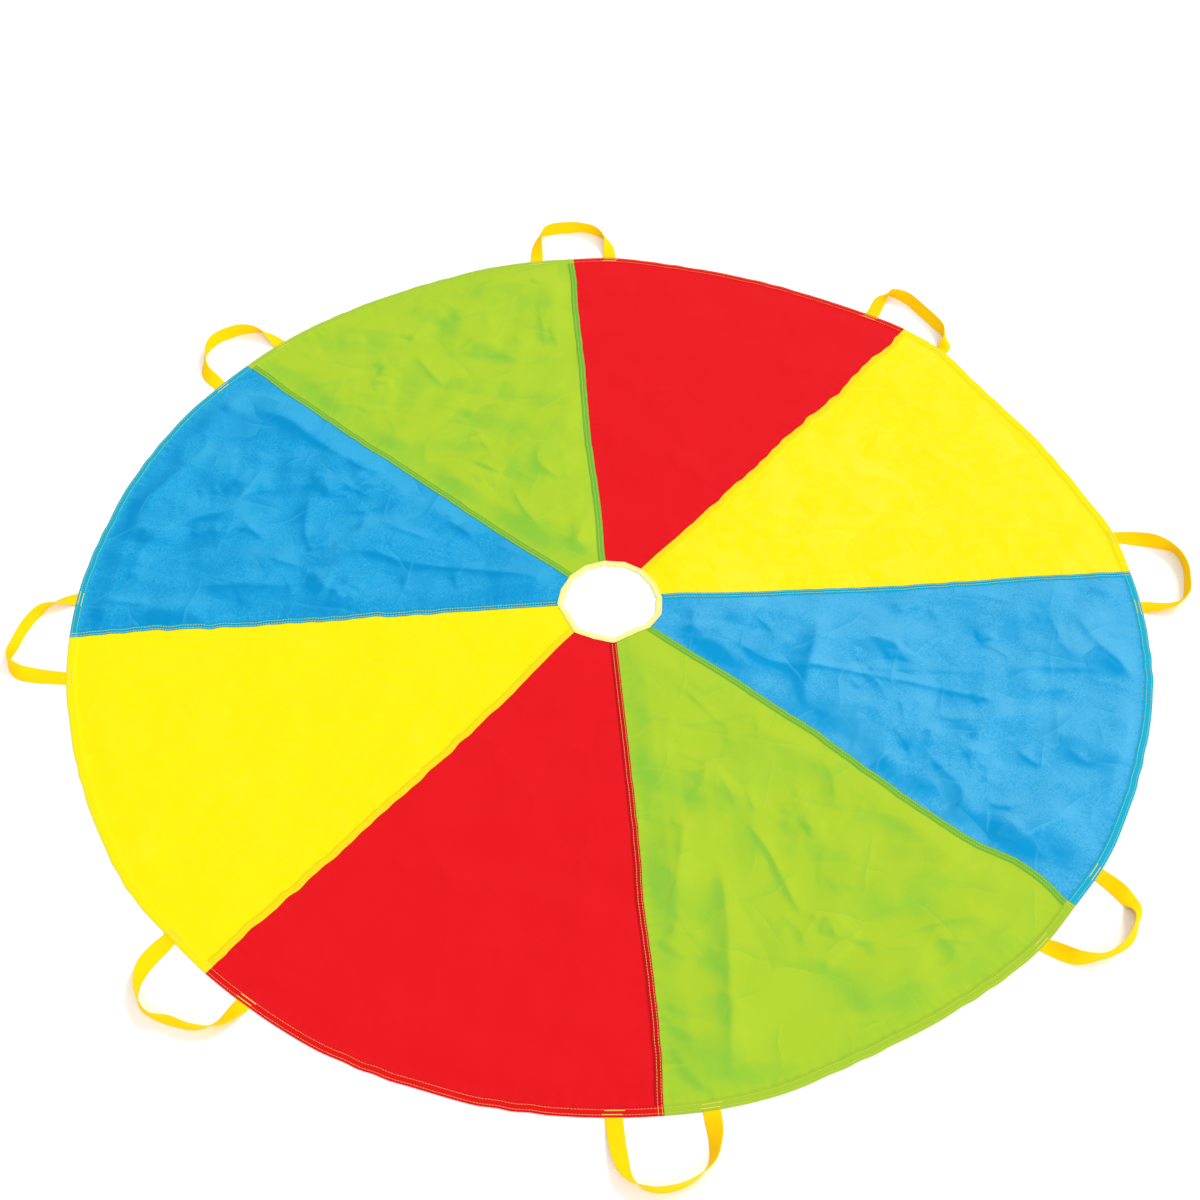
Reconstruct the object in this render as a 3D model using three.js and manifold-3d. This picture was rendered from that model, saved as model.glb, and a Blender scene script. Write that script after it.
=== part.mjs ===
// A round play parachute that lies flat: eight coloured gores with felled seams and a turned hem,
// a bound hole in the middle and eight webbing hand loops, one at the rim end of each seam.
// Millimetres, +Z up. The floor is z = 0 and the centre of the hole stands over the origin.
// Seam 1 runs along +Y, and the seams, gores and hand loops are numbered clockwise from above.
import * as THREE from 'three';
import Module from 'manifold-3d';
import { mergeVertices } from 'three/addons/utils/BufferGeometryUtils.js';

const wasm = await Module();
wasm.setup();

// Canopy
const canopyRadius = 914;
const goreCount = 8;
const clothThickness = 0.8;
const seamGap = 0.3;
const fitGap = 0.3;

// Felled seams: one gore of each pair carries the doubled strip
const seamStripWidth = 12;
const seamStripRise = 0.7;
const foldSlope = 0.6;
const gapUnderCloth = 0.3;

// Turned hem
const hemWidth = 14;
const hemEdgeRound = 0.7;

// Hole in the middle, with its folded binding tape
const holeRadius = 79;
const bindingWidth = 11;
const bindingThickness = 0.6;
const stripEndGap = 1.2;

// Webbing of the hand loops
const webbingWidth = 25;
const webbingThickness = 1.4;
const tailLength = 11;

// Sewing thread: rows of stitches, lying on the cloth
const threadWidth = 0.8;
const threadThickness = 0.4;
const seamRowSpacing = 5.6;
const seamRowEdge = 2.2;
const hemRowOuter = 3;
const hemRowInner = 10.6;
const bindingRowEdge = 2.2;
const tackLength = 30;
const tackWidth = 4.4;

// Fineness of the round shapes
const rimStepsPerGore = 12;
const goreRings = 3;
const holeSteps = 48;
const ribbonSteps = 72;
const cutOverrun = 5;

// Each hand loop lies in its own way. A loop leaves the hem at its first leg, bends round and comes
// back to its second leg. A point is [along the rim, out from the rim, turn about the webbing's
// length in degrees]: 0 lies flat, 90 stands on edge with the outer edge up, -90 with the inner.
// The rim distances are counted clockwise from the seam, and both legs leave square to the rim.
const loopLays = [
  [[-69, 0, 0], [-64, 48, -45], [-54, 75, -70], [-28, 87, -105], [0, 89, -105],
    [28, 87, -90], [56, 75, -85], [80, 46, -55], [82, 0, 0]],
  [[-74, 0, 0], [-84, 42, -15], [-79, 60, -65], [-45, 69, -105], [-2, 58, -110],
    [35, 46, -110], [64, 34, -95], [87, 14, -46], [89, 0, 0]],
  [[-72, 0, 0], [-60, 34, 30], [-46, 62, 70], [-26, 88, 105], [11, 94, 90],
    [45, 87, 80], [78, 74, 75], [92, 46, 40], [89, 0, 0]],
  [[-71, 0, 0], [-64, 36, 20], [-56, 64, -15], [-32, 81, -70], [-2, 88, -70],
    [27, 83, -85], [52, 71, -95], [77, 44, -60], [85, 0, 0]],
  [[-62, 0, 0], [-61, 42, 45], [-51, 75, 70], [-22, 97, 85], [8, 105, 90],
    [38, 102, 85], [62, 84, 55], [71, 50, 20], [74, 0, 0]],
  [[-78, 0, 0], [-78, 40, 45], [-57, 68, 85], [-23, 84, 100], [6, 97, 85],
    [32, 95, 95], [56, 79, 80], [73, 50, 45], [82, 0, 0]],
  [[-90, 0, 0], [-83, 45, -15], [-75, 76, -50], [-51, 94, -85], [-18, 86, -100],
    [18, 74, -100], [48, 56, -95], [68, 32, -48], [79, 0, 0]],
  [[-74, 0, 0], [-71, 40, -50], [-48, 69, -75], [-25, 87, -90], [3, 94, -105],
    [31, 88, -105], [58, 73, -90], [79, 43, -55], [81, 0, 0]],
];

// Sizes that follow from those above
const goreAngle = (2 * Math.PI) / goreCount;
const sheetBottom = bindingThickness + gapUnderCloth;
const sheetTop = sheetBottom + clothThickness;
const layerTop = sheetTop + seamStripRise;
const bindingOuter = holeRadius + bindingWidth;
const clothInner = holeRadius + bindingThickness + fitGap;
const stripStart = bindingOuter + stripEndGap;
const notchTop = webbingThickness + fitGap;
const bindingTop = sheetTop + gapUnderCloth + bindingThickness;
const nearestLeg = Math.min(...loopLays.flatMap((lay) => [-lay[0][0], lay.at(-1)[0]]));
const foldLine = rimDrop(nearestLeg - webbingWidth / 2) + 2 * fitGap;

const clothRed = new THREE.Color(0.93, 0.11, 0.14);
const clothYellow = new THREE.Color(1.0, 0.94, 0.0);
const clothBlue = new THREE.Color(0.1, 0.6, 0.9);
const clothGreen = new THREE.Color(0.67, 0.83, 0.21);
const webbingGold = new THREE.Color(1.0, 0.83, 0.02);
const bindingCream = new THREE.Color(0.98, 0.95, 0.62);
const threadYellow = new THREE.Color(1.0, 0.86, 0.2);
const goreCloths = [
  ['red', clothRed], ['yellow', clothYellow], ['blue', clothBlue], ['green', clothGreen],
];

// How far the round rim lies inside the straight line that touches it at a seam
function rimDrop(along) {
  return Math.sqrt(canopyRadius ** 2 - along ** 2) - canopyRadius;
}

function clothMaterial(color) {
  return new THREE.MeshStandardMaterial({ color, roughness: 0.75, metalness: 0 });
}

function threadMaterial() {
  return new THREE.MeshStandardMaterial({ color: threadYellow, roughness: 0.6, metalness: 0 });
}

function webbingMaterial() {
  return new THREE.MeshStandardMaterial({ color: webbingGold, roughness: 0.7, metalness: 0 });
}

function namedMesh(name, geometry, material) {
  const mesh = new THREE.Mesh(geometry, material);
  mesh.name = name;
  return mesh;
}

// A closed shell from a top and a bottom grid of the same rows and columns
function sheetGeometry(top, bottom) {
  const rows = top.length;
  const columns = top[0].length;
  const points = [...top.flat(), ...bottom.flat()];
  const at = (side, i, j) => side * rows * columns + i * columns + j;
  const index = [];
  const quad = (a, b, c, d) => index.push(a, b, c, a, c, d);
  for (let i = 0; i + 1 < rows; i++) {
    for (let j = 0; j + 1 < columns; j++) {
      quad(at(0, i, j), at(0, i + 1, j), at(0, i + 1, j + 1), at(0, i, j + 1));
      quad(at(1, i, j), at(1, i, j + 1), at(1, i + 1, j + 1), at(1, i + 1, j));
    }
    quad(at(0, i, 0), at(1, i, 0), at(1, i + 1, 0), at(0, i + 1, 0));
    quad(at(0, i + 1, columns - 1), at(1, i + 1, columns - 1), at(1, i, columns - 1), at(0, i, columns - 1));
  }
  for (let j = 0; j + 1 < columns; j++) {
    quad(at(0, 0, j + 1), at(1, 0, j + 1), at(1, 0, j), at(0, 0, j));
    quad(at(0, rows - 1, j), at(1, rows - 1, j), at(1, rows - 1, j + 1), at(0, rows - 1, j + 1));
  }
  const geometry = new THREE.BufferGeometry();
  geometry.setAttribute('position', new THREE.Float32BufferAttribute(points.flat(), 3));
  geometry.setIndex(index);
  return geometry;
}

function toManifold(geometry) {
  const bare = geometry.clone();
  bare.deleteAttribute('normal');
  bare.deleteAttribute('uv');
  const merged = mergeVertices(bare, 1e-4);
  return new wasm.Manifold(new wasm.Mesh({
    numProp: 3,
    vertProperties: new Float32Array(merged.attributes.position.array),
    triVerts: new Uint32Array(merged.index.array),
  }));
}

function fromManifold(solid) {
  const mesh = solid.getMesh();
  const geometry = new THREE.BufferGeometry();
  geometry.setAttribute('position', new THREE.BufferAttribute(new Float32Array(mesh.vertProperties), 3));
  geometry.setIndex(new THREE.BufferAttribute(new Uint32Array(mesh.triVerts), 1));
  return geometry;
}

function boxBetween(low, high) {
  const size = high.map((v, i) => v - low[i]);
  const geometry = new THREE.BoxGeometry(...size);
  geometry.translate(...low.map((v, i) => v + size[i] / 2));
  return geometry;
}

// Gores. Each is drawn with its first seam along +Y and turned into place about the hole.
// Columns run along the seams and across the cloth, and rings run round the hole.
function goreGeometry(stripOnFirst, stripOnLast, legs) {
  const half = seamGap / 2;
  const columns = [];
  const fromFirst = (distance, strip) => columns.push({ side: 0, distance, strip });
  const fromLast = (distance, strip) => columns.push({ side: 1, distance, strip });
  fromFirst(half, stripOnFirst);
  fromFirst(half + seamStripWidth, stripOnFirst);
  fromFirst(half + seamStripWidth + foldSlope, false);
  for (let i = 1; i < rimStepsPerGore; i++) columns.push({ share: i / rimStepsPerGore });
  fromLast(half + seamStripWidth + foldSlope, false);
  fromLast(half + seamStripWidth, stripOnLast);
  fromLast(half, stripOnLast);

  const hemInner = canopyRadius - hemWidth;
  const rings = [
    { radius: clothInner, kind: 'plain' },
    { radius: bindingOuter + fitGap, kind: 'plain' },
    { radius: stripStart + foldSlope, kind: 'strips' },
  ];
  for (let i = 1; i < goreRings; i++) {
    rings.push({ radius: stripStart + ((hemInner - stripStart) * i) / goreRings, kind: 'strips' });
  }
  rings.push(
    { radius: hemInner - foldSlope, kind: 'strips' },
    { radius: hemInner, kind: 'hem' },
    { radius: canopyRadius - hemEdgeRound, kind: 'hem' },
    { radius: canopyRadius, kind: 'edge' },
  );

  const place = (column, radius) => {
    const inset = (distance) => Math.asin(distance / radius);
    const first = inset(half + seamStripWidth + foldSlope);
    const last = goreAngle - first;
    let angle = first + (last - first) * column.share;
    if (column.side === 0) angle = inset(column.distance);
    if (column.side === 1) angle = goreAngle - inset(column.distance);
    return [radius * Math.sin(angle), radius * Math.cos(angle)];
  };
  const topHeight = (column, ring) => {
    if (ring.kind === 'hem') return layerTop;
    if (ring.kind === 'edge') return layerTop - hemEdgeRound;
    return ring.kind === 'strips' && column.strip ? layerTop : sheetTop;
  };
  const bottomHeight = (ring) => (ring.kind === 'hem' || ring.kind === 'edge' ? 0 : sheetBottom);
  const top = columns.map((c) => rings.map((r) => [...place(c, r.radius), topHeight(c, r)]));
  const bottom = columns.map((c) => rings.map((r) => [...place(c, r.radius), bottomHeight(r)]));
  let solid = toManifold(sheetGeometry(top, bottom));
  for (const leg of legs) solid = solid.subtract(toManifold(notchGeometry(leg)));
  return fromManifold(solid);
}

// The room under the hem that a webbing end lies in. A leg is { seam, along }: the angle of its
// seam from the gore's first one, and how far the leg lies clockwise of that seam.
function notchGeometry({ seam, along }) {
  const inward = canopyRadius + foldLine - tailLength - fitGap;
  const side = webbingWidth / 2 + fitGap;
  const notch = boxBetween(
    [along - side, inward, -cutOverrun],
    [along + side, canopyRadius + cutOverrun, notchTop],
  );
  notch.rotateZ(-seam);
  return notch;
}

// Webbing loop: a flat band swept along its lay, standing on the floor with its lower edge
function loopGeometry(lay) {
  const first = foldLine + fitGap / 2;
  const points = lay.map(([along, out], i) => {
    const atRoot = i === 0 || i === lay.length - 1;
    return new THREE.Vector3(along, canopyRadius + (atRoot ? first : out), 0);
  });
  const path = new THREE.CatmullRomCurve3(points, false, 'centripetal');
  const turns = new THREE.CatmullRomCurve3(
    lay.map(([, , degrees], i) => new THREE.Vector3(i, degrees, 0)), false, 'centripetal',
  );
  const rows = [];
  for (let i = 0; i <= ribbonSteps; i++) {
    const share = i / ribbonSteps;
    const centre = path.getPoint(share);
    const forward = path.getTangent(share);
    if (i === 0) forward.set(0, 1, 0);
    if (i === ribbonSteps) forward.set(0, -1, 0);
    const turn = (turns.getPoint(share).y * Math.PI) / 180;
    const outward = new THREE.Vector3(-forward.y, forward.x, 0);
    const across = outward.clone().multiplyScalar(Math.cos(turn)).setZ(Math.sin(turn));
    const through = forward.clone().cross(across).normalize();
    const lift = (webbingWidth / 2) * Math.abs(across.z) + (webbingThickness / 2) * Math.abs(through.z);
    const corner = (a, b) => centre.clone()
      .setZ(lift)
      .addScaledVector(across, (a * webbingWidth) / 2)
      .addScaledVector(through, (b * webbingThickness) / 2)
      .toArray();
    rows.push([corner(1, 1), corner(-1, 1), corner(-1, -1), corner(1, -1)]);
  }
  return bandGeometry(rows);
}

// A closed band from rings of four corners, with a cap at both ends. Opposite sides are divided
// along the same diagonal, so that the band keeps its thickness where it twists.
function bandGeometry(rows) {
  const points = rows.flat();
  const index = [];
  const last = rows.length - 1;
  for (let i = 0; i < last; i++) {
    for (let j = 0; j < 4; j++) {
      const a = 4 * i + j;
      const b = 4 * i + ((j + 1) % 4);
      if (j < 2) index.push(a, b, b + 4, a, b + 4, a + 4);
      else index.push(a, b, a + 4, b, b + 4, a + 4);
    }
  }
  index.push(0, 2, 1, 0, 3, 2);
  index.push(4 * last, 4 * last + 1, 4 * last + 2, 4 * last, 4 * last + 2, 4 * last + 3);
  const geometry = new THREE.BufferGeometry();
  geometry.setAttribute('position', new THREE.Float32BufferAttribute(points.flat(), 3));
  geometry.setIndex(index);
  return geometry;
}

// Webbing end under the hem, from its inner end to the line that the loop turns about
function tailGeometry(along) {
  const outer = canopyRadius + foldLine - fitGap / 2;
  const side = webbingWidth / 2;
  const inner = canopyRadius + foldLine - tailLength;
  return boxBetween([along - side, inner, 0], [along + side, outer, webbingThickness]);
}

// Thread laid flat on the layers: the room between two plan outlines, given its thickness
function threadGeometry(outline, inside) {
  const shape = new THREE.Shape(outline);
  shape.holes = [new THREE.Path(inside)];
  const geometry = new THREE.ExtrudeGeometry(shape, { depth: threadThickness, bevelEnabled: false });
  geometry.translate(0, 0, layerTop);
  return geometry;
}

// A ring whose section is a closed outline of [radius, height] points, counter-clockwise
function latheRing(profile, steps) {
  const closed = [...profile, profile[0]].map(([radius, height]) => new THREE.Vector2(radius, height));
  const geometry = new THREE.LatheGeometry(closed, steps);
  geometry.rotateX(Math.PI / 2);
  return geometry;
}

function rectanglePoints(left, right, low, high) {
  return [[left, low], [right, low], [right, high], [left, high]].map((p) => new THREE.Vector2(...p));
}

// Two rows along a seam, joined at both ends where the machine turned
function seamStitchGeometry(side) {
  const near = seamGap / 2 + seamRowEdge;
  const far = near + seamRowSpacing;
  const low = stripStart + 2 * foldSlope;
  const high = canopyRadius - hemRowInner - threadWidth / 2 - 2 * fitGap;
  const [left, right] = side > 0 ? [near, far] : [-far, -near];
  const half = threadWidth / 2;
  const outline = rectanglePoints(left - half, right + half, low, high);
  const inside = rectanglePoints(left + half, right - half, low + threadWidth, high - threadWidth);
  return threadGeometry(outline, inside);
}

// A flat ring of thread with its middle line at a radius
function threadRing(row, height, steps) {
  const half = threadWidth / 2;
  return latheRing([
    [row - half, height], [row + half, height],
    [row + half, height + threadThickness], [row - half, height + threadThickness],
  ], steps);
}

// Two rows round the hem, with one step across from row to row
function hemStitchGeometry() {
  const outer = canopyRadius - hemRowOuter;
  const inner = canopyRadius - hemRowInner;
  const steps = goreCount * rimStepsPerGore;
  const middleOfSide = Math.cos(Math.PI / steps);
  const step = boxBetween(
    [-threadWidth / 2, inner * middleOfSide, layerTop],
    [threadWidth / 2, outer * middleOfSide, layerTop + threadThickness],
  );
  step.rotateZ(-Math.PI / steps);
  return fromManifold(toManifold(threadRing(outer, layerTop, steps))
    .add(toManifold(threadRing(inner, layerTop, steps)))
    .add(toManifold(step)));
}

// Short box of bold stitches that holds a webbing end, between the two rows of the hem
function tackGeometry(along) {
  const half = threadWidth / 2;
  const middle = canopyRadius + rimDrop(Math.abs(along)) - (hemRowOuter + hemRowInner) / 2;
  const low = middle - tackWidth / 2;
  const high = middle + tackWidth / 2;
  const left = -tackLength / 2;
  const right = tackLength / 2;
  const outline = rectanglePoints(left, right, low - half, high + half);
  const inside = rectanglePoints(left + threadWidth, right - threadWidth, low + half, high - half);
  const geometry = threadGeometry(outline, inside);
  geometry.translate(0, -middle, 0);
  geometry.rotateZ(-Math.asin(along / canopyRadius));
  geometry.translate(along, middle, 0);
  return geometry;
}

// Binding: a tape folded over the cloth round the hole, open to the outside
function bindingGeometry() {
  const slotLow = bindingThickness;
  const slotHigh = bindingTop - bindingThickness;
  const profile = [
    [holeRadius, 0], [bindingOuter, 0], [bindingOuter, slotLow],
    [holeRadius + bindingThickness, slotLow], [holeRadius + bindingThickness, slotHigh],
    [bindingOuter, slotHigh], [bindingOuter, bindingTop], [holeRadius, bindingTop],
  ];
  return fromManifold(toManifold(latheRing(profile, holeSteps)));
}

const parachute = new THREE.Group();

// The doubled strip lies on the gore after each seam, but at seam 1 on the gore before it
for (let g = 0; g < goreCount; g++) {
  const [colorName, color] = goreCloths[g % goreCloths.length];
  const next = (g + 1) % goreCount;
  const legs = [
    { seam: 0, along: loopLays[g].at(-1)[0] },
    { seam: goreAngle, along: loopLays[next][0][0] },
  ];
  const geometry = goreGeometry(g !== 0, g === goreCount - 1, legs);
  const gore = namedMesh(`gore_${g + 1}_${colorName}`, geometry, clothMaterial(color));
  gore.rotation.z = -g * goreAngle;
  parachute.add(gore);
}

for (let s = 0; s < goreCount; s++) {
  const number = s + 1;
  const lay = loopLays[s];
  const station = new THREE.Group();
  station.rotation.z = -s * goreAngle;
  const stripSide = s === 0 ? -1 : 1;
  station.add(namedMesh(`seam_stitching_${number}`, seamStitchGeometry(stripSide), threadMaterial()));
  station.add(namedMesh(`hand_loop_${number}`, loopGeometry(lay), webbingMaterial()));
  for (const [side, along] of [['a', lay[0][0]], ['b', lay.at(-1)[0]]]) {
    station.add(namedMesh(`loop_end_${number}${side}`, tailGeometry(along), webbingMaterial()));
    station.add(namedMesh(`tack_${number}${side}`, tackGeometry(along), threadMaterial()));
  }
  parachute.add(station);
}

parachute.add(namedMesh('hem_stitching', hemStitchGeometry(), threadMaterial()));
parachute.add(namedMesh('centre_binding', bindingGeometry(), clothMaterial(bindingCream)));
const bindingThread = threadRing(bindingOuter - bindingRowEdge, bindingTop, holeSteps);
parachute.add(namedMesh('binding_stitching', bindingThread, threadMaterial()));

export default parachute;
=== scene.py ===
"""The play parachute's looks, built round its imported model: eight wrinkled cloth gores with felled
seams and a turned hem, a bound hole, eight webbing hand loops and all the sewing, stitch by stitch.

Metres, +Z up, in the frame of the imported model. Seam 1 runs along +Y, and seams, gores and hand
loops are numbered clockwise from above. Distances named "clockwise" are along the rim."""
import math

import bpy
import numpy as np
from mathutils import Matrix, Vector


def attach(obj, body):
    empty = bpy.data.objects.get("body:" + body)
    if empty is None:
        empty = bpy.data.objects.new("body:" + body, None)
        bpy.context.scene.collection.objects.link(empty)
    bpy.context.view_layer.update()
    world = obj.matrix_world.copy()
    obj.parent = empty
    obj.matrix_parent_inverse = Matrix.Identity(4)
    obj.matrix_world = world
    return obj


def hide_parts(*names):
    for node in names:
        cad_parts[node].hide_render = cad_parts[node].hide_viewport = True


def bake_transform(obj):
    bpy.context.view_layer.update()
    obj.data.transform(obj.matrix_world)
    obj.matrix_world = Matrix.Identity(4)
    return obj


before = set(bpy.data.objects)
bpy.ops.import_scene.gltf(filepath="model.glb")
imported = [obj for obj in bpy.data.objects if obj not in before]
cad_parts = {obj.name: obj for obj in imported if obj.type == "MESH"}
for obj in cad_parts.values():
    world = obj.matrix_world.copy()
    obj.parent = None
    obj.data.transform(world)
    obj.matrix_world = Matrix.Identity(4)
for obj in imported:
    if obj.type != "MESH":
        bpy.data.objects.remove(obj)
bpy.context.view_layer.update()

MM = 0.001

# The canopy, as in the part's source
CANOPY_RADIUS = 914 * MM
GORES = 8
GORE_ANGLE = math.tau / GORES
HOLE_RADIUS = 79 * MM
BINDING_WIDTH = 11 * MM
BINDING_OUTER = HOLE_RADIUS + BINDING_WIDTH
BINDING_TOP = 2.6 * MM
BINDING_THICKNESS = 0.5 * MM
CLOTH_INNER = 79.9 * MM
STRIP_WIDTH = 12 * MM
STRIP_START = 91.2 * MM
STRIP_RISE = 0.7 * MM
STRIP_SLOPE = 0.6 * MM
HEM_WIDTH = 14 * MM
HEM_INNER = CANOPY_RADIUS - HEM_WIDTH
CLOTH_NAMES = ("red", "yellow", "blue", "green") * 2

# The cloth's thickness, and the heights of its middle at rest, at its lowest and round the hem
CLOTH_THICKNESS = 0.3 * MM
CLOTH_REST = 1.3 * MM
CLOTH_LOWEST = 0.4 * MM
HEM_UNDERSIDE = 0.25 * MM
HEM_OVER_WEBBING = 1.65 * MM
HEM_EDGE = 0.9 * MM
LAP = 1.2 * MM
BUTT_GAP = 0.15 * MM

# Sewing rows, as in the part's source: distances from the seam, the rim and the binding's edge
SEAM_ROWS = (2.35 * MM, 7.95 * MM)
HEM_ROWS = (3 * MM, 10.6 * MM)
BINDING_ROW = 2.2 * MM
TACK_LENGTH = 28 * MM
TACK_ROWS = (3.6 * MM, 9.4 * MM)
TACK_SLIPS = (2 * MM, -2 * MM)
TACK_PITCH = 2.2 * MM

# Webbing of the hand loops
WEBBING_WIDTH = 25 * MM
WEBBING_THICKNESS = 1.4 * MM
FOLD_LINE = 913.26 * MM
TAIL_END = 902.3 * MM

# Each hand loop's lie, as in the part's source: [clockwise of the seam, out from the rim, turn]
LOOP_LAYS = (
    ((-69, 0, 0), (-64, 48, -45), (-54, 75, -70), (-28, 87, -105), (0, 89, -105),
     (28, 87, -90), (56, 75, -85), (80, 46, -55), (82, 0, 0)),
    ((-74, 0, 0), (-84, 42, -15), (-79, 60, -65), (-45, 69, -105), (-2, 58, -110),
     (35, 46, -110), (64, 34, -95), (87, 14, -46), (89, 0, 0)),
    ((-72, 0, 0), (-60, 34, 30), (-46, 62, 70), (-26, 88, 105), (11, 94, 90),
     (45, 87, 80), (78, 74, 75), (92, 46, 40), (89, 0, 0)),
    ((-71, 0, 0), (-64, 36, 20), (-56, 64, -15), (-32, 81, -70), (-2, 88, -70),
     (27, 83, -85), (52, 71, -95), (77, 44, -60), (85, 0, 0)),
    ((-62, 0, 0), (-61, 42, 45), (-51, 75, 70), (-22, 97, 85), (8, 105, 90),
     (38, 102, 85), (62, 84, 55), (71, 50, 20), (74, 0, 0)),
    ((-78, 0, 0), (-78, 40, 45), (-57, 68, 85), (-23, 84, 100), (6, 97, 85),
     (32, 95, 95), (56, 79, 80), (73, 50, 45), (82, 0, 0)),
    ((-90, 0, 0), (-83, 45, -15), (-75, 76, -50), (-51, 94, -85), (-18, 86, -100),
     (18, 74, -100), (48, 56, -95), (68, 32, -48), (79, 0, 0)),
    ((-74, 0, 0), (-71, 40, -50), (-48, 69, -75), (-25, 87, -90), (3, 94, -105),
     (31, 88, -105), (58, 73, -90), (79, 43, -55), (81, 0, 0)),
)

# How far each seam lies clockwise of its straight line, in millimetres at these radii: the cloth was
# spread by hand, so no seam lies quite straight
WANDER_RADII = (110, 180, 260, 340, 420, 500, 580, 660, 740, 800, 850, 905)
SEAM_WANDER = (
    (2, 4, 4, 2, 1, 3, 5, 5, 5, 6, 8, 7),
    (-4, -2, -1, 0, 0, 0, 1, 5, 2, -3, 4, 0),
    (-8, -3, 1, 3, 5, 8, 8, 7, 6, 7, 8, 8),
    (-5, -6, -9, -8, -10, -5, -1, 1, -1, -13, -13, -1),
    (-5, -5, -5, -5, -5, -4, -1, -2, -3, -2, 0, 4),
    (1, -2, -6, -7, -8, -7, -6, -5, -3, -1, 1, -1),
    (-3, -4, -4, -5, -4, -6, -6, -5, -3, -2, -2, -5),
    (-6, -9, -10, -10, -9, -9, -11, -10, -9, -8, -4, -3),
)

# How far each gore's rim lies outside the true circle, in millimetres at even steps over the gore
RIM_LIE = (
    (-1, 0, -8, -14, -16, -16, -15, -9, -1),
    (-1, -2, -17, -24, -22, -20, -14, -2, -1),
    (-1, 0, 2, 3, 0, -1, 0, 0, -3),
    (-3, -1, -5, -10, -12, -10, -3, 0, 0),
    (0, 0, 1, 2, 1, 2, 2, 0, 0),
    (0, 0, 5, 3, 0, -1, -1, 0, 0),
    (0, 0, -1, -2, 0, 1, 2, 0, 0),
    (0, 0, -2, -4, -5, -4, -1, 0, -1),
)
RIM_LIE_FROM, RIM_LIE_FULL = 0.5, 0.86

# How far the sewing draws each seam, and the rim between the loops, to and fro, in millimetres
SEAM_RIPPLES = (0.4, 1.7, 0.6, 0.5, 0.3, 1.1, 1.3, 0.5)
RIM_RIPPLE = 0.65

# How far the binding lies outside its true circle, in millimetres at even steps clockwise of seam 1
HOLE_LIE = (1, 2, 2, 1, 2, 4, 0, -6, 1, -3, 0, -6, -1, -3, -2, 0, 1)
HOLE_LIE_TO = 0.19
HOLE_FLATS = 1.8 * MM

# How strongly each cloth shows its wrinkles
WRINKLE_SHARE = {"red": 0.28, "yellow": 0.34, "blue": 1.0, "green": 0.9}
SEAM_SHARE = 0.3

# Where the camera stands: its direction, height and roll, and where it aims beside the hole
CAMERA_AZIMUTH = math.radians(-5.07)
CAMERA_ELEVATION = math.radians(50.8)
CAMERA_DISTANCE = 2.869
CAMERA_ROLL = math.radians(-0.29)
CAMERA_AIM = (-0.0155, 0.0037)
CAMERA_LENS = 50.0


def new_object(name, data):
    """An object in the scene that isn't made by an operator."""
    thing = bpy.data.objects.new(name, data)
    bpy.context.scene.collection.objects.link(thing)
    return thing


def unit(angle):
    """The unit vector on the floor at this angle."""
    return np.array([math.cos(angle), math.sin(angle)])


def smoothstep(low, high, value):
    t = np.clip((value - low) / (high - low), 0, 1)
    return t * t * (3 - 2 * t)


def through(xs, ys, x):
    """A smooth line through the points (xs, ys), held level outside them."""
    xs, ys = np.asarray(xs, float), np.asarray(ys, float)
    slope = np.gradient(ys, xs)
    slope[0] = slope[-1] = 0
    x = np.clip(x, xs[0], xs[-1])
    i = np.clip(np.searchsorted(xs, x, side="right") - 1, 0, len(xs) - 2)
    span = xs[i + 1] - xs[i]
    t = (x - xs[i]) / span
    return (
        (1 + 2 * t) * (1 - t) ** 2 * ys[i]
        + t * (1 - t) ** 2 * span * slope[i]
        + t * t * (3 - 2 * t) * ys[i + 1]
        + t * t * (t - 1) * span * slope[i + 1]
    )


def seam_angle(k):
    """The direction of seam k from above, with seam 9 the same as seam 1."""
    return math.pi / 2 - (k - 1) * GORE_ANGLE


def seam_wander(k, radius):
    """How far seam k lies clockwise of its straight line: slow wander and its sewing's ripple."""
    k = (k - 1) % GORES + 1
    slow = through(WANDER_RADII, SEAM_WANDER[k - 1], radius / MM) * MM
    ripple = np.sin(66 * radius + 2.4 * k + 2.5 * np.sin(17 * radius + k))
    ripple = ripple + 0.5 * np.sin(170 * radius + 3.1 * k)
    held = smoothstep(0.14, 0.4, radius) * smoothstep(0, 26 * MM, HEM_INNER - radius)
    return slow + SEAM_RIPPLES[k - 1] * MM * ripple * held


def rim_lie(g, turn, radius):
    """How far gore g's cloth lies outside its true radius, turn radians clockwise of its first seam."""
    steps = np.linspace(0, 1, len(RIM_LIE[0]))
    share = turn / GORE_ANGLE
    out = through(steps, RIM_LIE[g - 1], share) * MM
    ripple = RIM_RIPPLE * MM * (np.sin(58 * share + 1.9 * g + 2 * np.sin(21 * share)) - 1)
    out = out + ripple * smoothstep(0.16, 0.26, share) * smoothstep(0.16, 0.26, 1 - share)
    return out * smoothstep(RIM_LIE_FROM, RIM_LIE_FULL, radius)


def hole_lie(angle, radius):
    """How far the binding and the cloth beside it lie outside their true radius, at this direction."""
    clockwise = np.mod(math.pi / 2 - angle, math.tau)
    out = through(np.linspace(0, math.tau, len(HOLE_LIE)), HOLE_LIE, clockwise) * MM
    run = np.mod(clockwise / math.tau * (len(HOLE_LIE) - 1), 1)
    out = out - HOLE_FLATS * 4 * run * (1 - run)
    return out * (1 - smoothstep(BINDING_OUTER, HOLE_LIE_TO, radius))


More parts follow.
